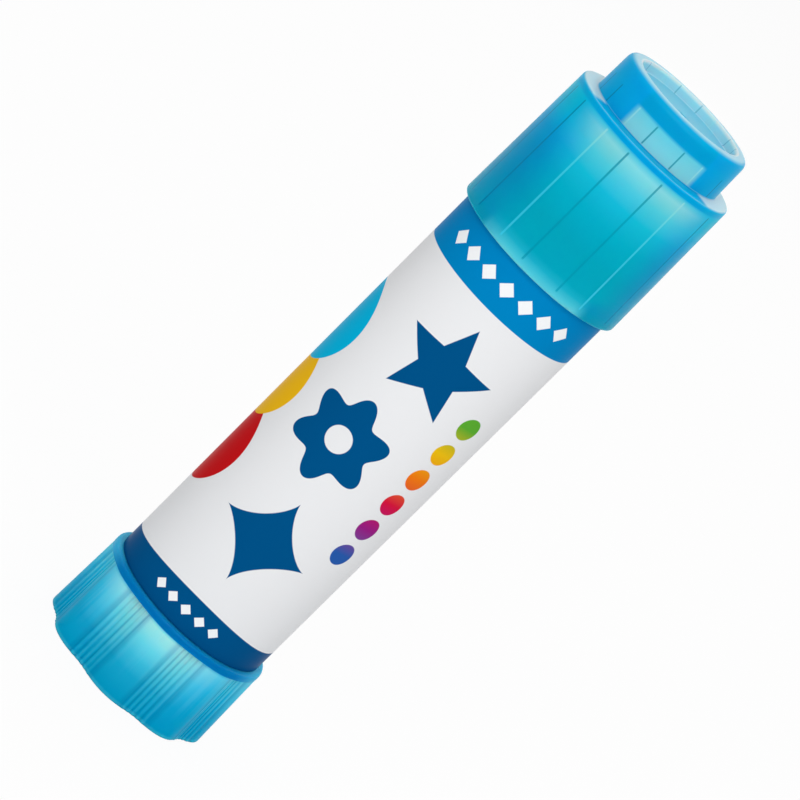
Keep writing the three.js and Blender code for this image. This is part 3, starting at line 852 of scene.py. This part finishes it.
def labelFinish():
    film = Finish("printed-label", Roughness=label["mist"], IOR=label["bend"],
                  Specular_IOR_Level=label["shine"])
    up = film.z - labelBaseZ
    # Across is the way round from the middle of the nearer face, and around from the front's
    halfTurn = film.angle / math.pi
    across = (halfTurn - film.maths("ROUND", halfTurn)) * (math.pi * labelRadius)
    around = film.angle * labelRadius

    def within(distance):
        return 1 - film.rise(distance, -label["inkEdge"], label["inkEdge"])

    def length(u, v):
        return film.maths("SQRT", u * u + v * v)

    # Way out from a middle, and the angle in a pattern of so many equal parts
    def polar(u, v, parts):
        share = 2 * math.pi / parts
        turn = film.maths("ARCTAN2", u, v) / share
        return length(u, v), abs(turn - film.maths("ROUND", turn)) * share

    # A row of diamonds, where the ways along and up from a middle add up to less than the size
    def diamonds(height, step, size, reach):
        row = within(film.fromMiddle(across, step) + abs(up - height) - size)
        return row * within(abs(across) - reach)

    # Overlapping discs by the left edge
    color = label["paper"]
    for name, height, size in label["discs"]:
        disc = within(length(around - label["discsAt"], up - height) - size)
        color = film.mix(disc, color, label[name])
    # A column of shapes: a five-pointed star, a flower and a four-pointed tile
    at, height, size = label["star"]
    out, fold = polar(across - at, up - height, label["starPoints"])
    inward, sideways = label["starNormal"]
    slope = film.maths("COSINE", fold) * inward + film.maths("SINE", fold) * sideways
    star = within(out * slope - inward * size)
    at, height, size = label["flower"]
    out, fold = polar(across - at, up - height, label["petals"])
    wave = film.maths("COSINE", fold * label["petals"]) * label["petalWave"]
    flower = within(out - wave - size) * (1 - within(out - size * label["flowerHole"]))
    at, height, size = label["tile"]
    tile = film.maths("POWER", abs(across - at), label["tilePower"])
    tile = tile + film.maths("POWER", abs(up - height), label["tilePower"])
    shapes = film.most(star, film.most(flower, within(tile - size)))
    color = film.mix(shapes, color, label["navy"])
    # A column of beads on the right, two below the middle one and three above it, whose colours
    # run through the rainbow
    at, middle, size = label["beads"]
    step = label["beadStep"]
    bead = within(length(across - at, film.fromMiddle(up, step, middle)) - size)
    bead = bead * film.band(up, middle - 2.5 * step, middle + 3.5 * step, label["inkEdge"])
    stops = [(middle + (k - 2) * step, *value) for k, value in enumerate(label["beadColors"])]
    color = film.mix(bead, color, film.ramp(up, stops))
    # Bands above and below, the lower one higher in the middle of each face, with rows of diamonds
    color = film.mix(1 - within(up - label["topBandFrom"]), color, label["topBlue"])
    arch = film.maths("COSINE", across / labelRadius)
    baseEdge = arch * arch * label["baseBandRise"] + label["baseBandSide"]
    color = film.mix(within(up - baseEdge), color, label["navy"])
    rows = film.most(diamonds(*label["topDiamonds"]), diamonds(*label["baseDiamonds"]))
    color = film.mix(rows, color, label["white"])
    return film.feed(Base_Color=color, **film.skin(label))


# The film's outer radius rises by the seam's lift where its two ends lie over each other
def makeLabel():
    seam = math.degrees(label["seamWidth"] / labelRadius)
    angles = turnAngles(label["columns"], [180, 180 + seam], 0.2)
    turn = np.degrees(angles)
    doubled = ((turn > 180) & (turn < 180 + seam)).astype(float)
    inner = labelRadius - label["thickness"]
    fromZ, toZ = labelBaseZ - label["coverBelow"], labelTopZ + label["coverAbove"]
    path = roundedPath([
        [inner, toZ, 0.02],
        [inner, fromZ, 0.02],
        [labelRadius, fromZ, 0.03, 1],
        [labelRadius, toZ, 0.03, 1],
    ], closed=True)
    radius = path[:, :1] + label["seamLift"] * doubled * path[:, 3:4]
    grid = roundGrid(radius, path[:, 1:2], angles)
    makePiece("label-film", grid, "barrel", "label", labelFinish(), closed=True)


# Spindle and carrier: the left-hand thread that they share

thread = {
    "pitch": 4.0,
    "crestRadius": 3.3,
    "rootRadius": 2.5,
    "crest": 1.0,
    "flank": 0.4,
    "clearance": 0.2,
    "flankClearance": 0.1,
    "rowStep": 0.125,
}


# How much of the thread's depth stands at an angle and height. It is 1 on the crest, falls along
# the flank, and the crest sinks by one pitch in each turn anticlockwise from above.
def threadShape(angles, heights, wider=0.0):
    turns = (angles - math.pi / 2) / (2 * math.pi)
    rise = (heights - carrierZ) / thread["pitch"] + turns
    away = np.abs(rise - np.round(rise)) * thread["pitch"]
    half = thread["crest"] / 2 + thread["flank"] + wider
    return np.clip((half - away) / thread["flank"], 0, 1)


spindle = {
    "columns": 60,
    "tailRadius": 2.95,
    "tailTopDrop": 0.15,
    "journalRadius": 3.1,
    "collarRadius": 4.6,
    "collarThickness": 1.0,
    "reliefRadius": 2.35,
    "reliefLength": 0.8,
    "tipChamfer": 0.8,
}


# radius = root + depth * thread(angle, height), held under a cone at each end of the thread
def makeSpindle():
    angles = turnAngles(spindle["columns"])
    tailTop = bulkheadZ - spindle["tailTopDrop"]
    collarTop = collarZ + spindle["collarThickness"]
    threadFrom = collarTop + spindle["reliefLength"]
    lower = roundedPath([
        [0, tailZ, 0],
        [spindle["tailRadius"], tailZ, 0.2, 1],
        [spindle["tailRadius"], tailTop, 0, 1],
        [spindle["journalRadius"], tailTop, 0.1],
        [spindle["journalRadius"], collarZ, 0.1],
        [spindle["collarRadius"], collarZ, 0.15],
        [spindle["collarRadius"], collarTop, 0.15],
        [spindle["reliefRadius"], collarTop, 0.2],
        [spindle["reliefRadius"], threadFrom, 0],
    ])
    lowerRadius = lower[:, :1] * (1 + (hexagonShape(angles) - 1) * lower[:, 3:4])
    rows = int((tipZ - threadFrom) / thread["rowStep"])
    heights = np.linspace(threadFrom + 0.01, tipZ, rows)[:, None]  # Just above the relief
    depth = thread["crestRadius"] - thread["rootRadius"]
    screw = thread["rootRadius"] + depth * threadShape(angles, heights)
    startCone = spindle["reliefRadius"] + heights - threadFrom
    tipCone = thread["crestRadius"] - spindle["tipChamfer"] + tipZ - heights
    screw = np.minimum(np.minimum(screw, startCone), tipCone)
    radius = np.concatenate([lowerRadius, screw, np.zeros((1, len(angles)))])
    height = np.concatenate([lower[:, 1:2], heights, [[tipZ]]])
    grid = roundGrid(radius, height, angles)
    makePiece("spindle-screw", grid, "knob", "spindle",
              whiteFinish("white-spindle"), sharpAngle=35)


carrier = {
    "columns": 120,
    "floor": 1.2,
    "cupHeight": 6.9,
    "wall": 1.0,
    "relief": 0.25,
    "lip": 1.2,
    "nutRadius": 5.0,
    "nutChamfer": 0.5,
    "notchRadius": 9.1,
    "notchWidth": 1.6,
}


# Radii held under the notch radius where a notch or groove lets a spline through
def notched(radius, notch):
    return np.where(notch * (radius > carrier["notchRadius"]) > 0, carrier["notchRadius"], radius)


# The cup is notched, and the bore is the thread's shape with the clearance round it
def makeCarrier():
    angles, notch = splineAngles(carrier["columns"], carrier["notchWidth"], pistonRadius)
    floorZ, cupTop = carrierZ + carrier["floor"], carrierZ + carrier["cupHeight"]
    relief, lip = pistonRadius - carrier["relief"], carrier["lip"]
    wall, chamfer = pistonRadius - carrier["wall"], thread["crestRadius"] + carrier["nutChamfer"]
    outer = roundedPath([
        [chamfer, carrierZ, 0],
        [pistonRadius, carrierZ, 0.4],
        [pistonRadius, carrierZ + lip, 0.1],
        [relief, carrierZ + lip + carrier["relief"], 0.1],
        [relief, cupTop - lip - carrier["relief"], 0.1],
        [pistonRadius, cupTop - lip, 0.1],
        [pistonRadius, cupTop, 0.15],
        [wall, cupTop, 0.15],
        [wall, floorZ, 0.3],
        [carrier["nutRadius"], floorZ, 0.3],
        [carrier["nutRadius"], nutTopZ, 0.15],
        [chamfer, nutTopZ, 0],
    ])
    rows = int((nutTopZ - carrierZ) / thread["rowStep"])
    heights = np.linspace(nutTopZ, carrierZ, rows)[:, None]
    depth = thread["crestRadius"] - thread["rootRadius"]
    shape = threadShape(angles, heights, thread["flankClearance"])
    bore = thread["rootRadius"] + thread["clearance"] + depth * shape
    radius = np.concatenate([notched(outer[:, :1], notch), bore])
    height = np.concatenate([outer[:, 1:2], heights])
    grid = roundGrid(radius, height, angles)
    makePiece("carrier-cup", grid, "carrier", "carrier",
              whiteFinish("white-carrier"), closed=True, sharpAngle=35)


# A wave is (count round the top, share, start), and the drop keeps the worn top under the full
# height. Noises are (scale, detail, stretch).
glue = {
    "columns": 160,
    "stemRadius": 8.45,
    "hubBore": 5.1,
    "clearance": 0.1,
    "hole": 3.5,
    "topEdge": 1.3,
    "topDish": 0.25,
    "wearHeight": 0.06,
    "wearDrop": 2.0,
    "wearWaves": ((2, 1.0, 0.6), (5, 0.6, 2.1), (11, 0.3, 0.0)),
    "mist": 0.5,
    "mistRange": (0.35, 0.65),
    "mistPatches": (220.0, 3.0),
    "bend": 1.45,
    "coat": 0.15,
    "coatMist": 0.25,
    "scatterShare": 0.6,
    "scatter": (1.0, 0.85, 0.6),
    "scatterReach": 2.0,
    "color": screen(246, 243, 232),
    "clouds": (140.0, 4.0),
    "cloudColor": screen(232, 226, 206),
    "cloudShare": 0.5,
    "streaks": (90.0, 3.0, (6.0, 6.0, 0.5)),
    "streakColor": screen(252, 250, 244),
    "streakShare": 0.25,
    "crumbs": (420.0, 3.0),
    "crumbShare": 0.6,
    "roughHeight": 0.06,
    "roughStrength": 0.6,
}


def glueFinish():
    paste = Finish(
        "glue-paste",
        Roughness=glue["mist"],
        IOR=glue["bend"],
        Subsurface_Weight=glue["scatterShare"],
        Subsurface_Radius=glue["scatter"],
        Subsurface_Scale=glue["scatterReach"] * mm,
        Coat_Weight=glue["coat"],
        Coat_Roughness=glue["coatMist"],
    )
    clouds, streaks = paste.noise(*glue["clouds"]), paste.noise(*glue["streaks"])
    color = paste.mix(clouds * glue["cloudShare"], glue["color"], glue["cloudColor"])
    color = paste.mix(streaks * glue["streakShare"], color, glue["streakColor"])
    low, high = glue["mistRange"]
    mist = paste.noise(*glue["mistPatches"]) * (high - low) + low
    crumbShare = glue["crumbShare"]
    height = paste.noise(*glue["crumbs"]) * crumbShare + streaks * (1 - crumbShare)
    normal = paste.bump(height, glue["roughHeight"], glue["roughStrength"])
    return paste.feed(Base_Color=color, Roughness=mist, Normal=normal)


# Grooves as in the carrier; on the worn top the height sways by a few sine waves of the angle
def makeGlue():
    angles, groove = splineAngles(glue["columns"], carrier["notchWidth"], glueRadius)
    stemTop = carrierZ + carrier["cupHeight"] + glue["clearance"]
    hubTop = nutTopZ + glue["clearance"]
    path = roundedPath([
        [glue["hole"], hubTop, 0.1],
        [glue["hubBore"], hubTop, 0.1],
        [glue["hubBore"], glueBaseZ, 0.2],
        [glue["stemRadius"], glueBaseZ, 0.3],
        [glue["stemRadius"], stemTop, 0.1],
        [glueRadius, stemTop, 0.15],
        [glueRadius, glueTopZ, glue["topEdge"], 1],
        [(glueRadius + glue["hole"]) / 2, glueTopZ - glue["topDish"] / 2, 2.0, 1],
        [glue["hole"], glueTopZ - glue["topDish"], 0.3, 1],
    ], closed=True, curvePoints=8)
    radius = notched(np.broadcast_to(path[:, :1], (len(path), len(angles))), groove)
    sway = sum(share * np.sin(count * angles + start) for count, share, start in glue["wearWaves"])
    height = path[:, 1:2] + glue["wearHeight"] * path[:, 3:4] * (sway - glue["wearDrop"])
    grid = roundGrid(radius, height, angles)
    makePiece("glue-paste", grid, "carrier", "glue", glueFinish(), closed=True)


makeCap()
makeKnob()
makeBarrel()
makeLabel()
makeSpindle()
makeCarrier()
makeGlue()


# Studio: white floor that keeps a faint shadow, soft lamps and the photograph's camera. Lengths
# are metres here, apart from the floor's gap. A lamp is (place, target, size, power).
studio = {
    "floorSize": 6.0,
    "floorGap": 0.05,
    "floorTint": 0.9,
    "floorGlow": 0.93,
    "worldLight": 0.44,
    "lamps": {
        "key": ((0.08, -0.65, 0.45), (0, 0, 0.05), (0.8, 0.5), 3.2),
        "fill": ((-0.6, -0.3, 0.3), (0, 0, 0.05), (0.5, 0.5), 0.1),
        "rim": ((0.1, 0.6, 0.5), (0, 0, 0.06), (0.6, 0.4), 0.8),
        "top": ((0, 0.1, 0.8), (0, 0, 0.09), (0.5, 0.5), 1.2),
    },
}


# 1 for the rays that look at the backdrop: straight, through glass or off a gloss
def whiteRays(tree):
    path = tree.nodes.new("ShaderNodeLightPath")
    seen = path.outputs["Is Camera Ray"]
    for name in ("Is Transmission Ray", "Is Glossy Ray"):
        most = tree.nodes.new("ShaderNodeMath")
        most.operation = "MAXIMUM"
        tree.links.new(seen, most.inputs[0])
        tree.links.new(path.outputs[name], most.inputs[1])
        seen = most.outputs[0]
    return seen


def makeFloor():
    half, depth = studio["floorSize"] / 2, -studio["floorGap"] * mm
    corners = [(half * x, half * y, depth) for x, y in ((-1, -1), (1, -1), (1, 1), (-1, 1))]
    mesh = bpy.data.meshes.new("floor")
    mesh.from_pydata(corners, [], [(0, 1, 2, 3)])
    floor = addObject("floor", mesh)
    material = bpy.data.materials.new("white-floor")
    tree = emptyTree(material)
    diffuse = tree.nodes.new("ShaderNodeBsdfDiffuse")
    diffuse.inputs["Color"].default_value = (*[studio["floorTint"]] * 3, 1)
    glow = tree.nodes.new("ShaderNodeEmission")
    share = tree.nodes.new("ShaderNodeMath")
    share.operation = "MULTIPLY"
    share.inputs[1].default_value = studio["floorGlow"]
    tree.links.new(whiteRays(tree), share.inputs[0])
    blend = tree.nodes.new("ShaderNodeMixShader")
    tree.links.new(share.outputs[0], blend.inputs[0])
    tree.links.new(diffuse.outputs[0], blend.inputs[1])
    tree.links.new(glow.outputs[0], blend.inputs[2])
    output = tree.nodes.new("ShaderNodeOutputMaterial")
    tree.links.new(blend.outputs[0], output.inputs["Surface"])
    mesh.materials.append(material)


def makeWorld():
    world = bpy.data.worlds.new("studio")
    bpy.context.scene.world = world
    tree = emptyTree(world)
    strength = tree.nodes.new("ShaderNodeMapRange")
    strength.inputs["To Min"].default_value = studio["worldLight"]
    tree.links.new(whiteRays(tree), strength.inputs["Value"])
    background = tree.nodes.new("ShaderNodeBackground")
    background.inputs["Color"].default_value = (1, 1, 1, 1)
    tree.links.new(strength.outputs[0], background.inputs["Strength"])
    output = tree.nodes.new("ShaderNodeOutputWorld")
    tree.links.new(background.outputs[0], output.inputs["Surface"])


def makeLamp(name, place, target, size, power):
    data = bpy.data.lights.new(name, "AREA")
    data.shape = "RECTANGLE"
    data.size, data.size_y = size
    data.energy = power
    lamp = addObject(name, data)
    lamp.location = place
    away = np.array(place) - np.array(target)
    lamp.rotation_mode = "QUATERNION"
    lamp.rotation_quaternion = Vector(away).to_track_quat("Z", "Y")


# Lengths are metres, apart from the lens and the sensor
camera = {
    "distance": 0.5753,
    "height": 0.192,
    "targetHeight": 0.0479,
    "targetSide": 0.0003,
    "roll": 45.17,
    "lens": 225.4,
    "sensor": 36.0,
    "near": 0.01,
    "far": 20,
}


# The camera looks from its place to the target and is rolled, so that the stick leans to the right
def makeCamera():
    data = bpy.data.cameras.new("camera")
    data.lens = camera["lens"]
    data.sensor_width = camera["sensor"]
    data.clip_start, data.clip_end = camera["near"], camera["far"]
    view = addObject("camera", data)
    place = Vector((0, -camera["distance"], camera["height"]))
    target = Vector((camera["targetSide"], 0, camera["targetHeight"]))
    back = (place - target).normalized()
    right = Vector((0, 0, 1)).cross(back).normalized()
    up = back.cross(right)
    roll = math.radians(camera["roll"])
    rolledRight = right * math.cos(roll) + up * math.sin(roll)
    rolledUp = up * math.cos(roll) - right * math.sin(roll)
    turn = Matrix((rolledRight, rolledUp, back)).transposed().to_4x4()
    view.matrix_world = Matrix.Translation(place) @ turn
    bpy.context.scene.camera = view


makeFloor()
makeWorld()
for name, settings in studio["lamps"].items():
    makeLamp(name, *settings)
makeCamera()
bpy.context.scene.view_settings.view_transform = "Standard"
print("studio ready")
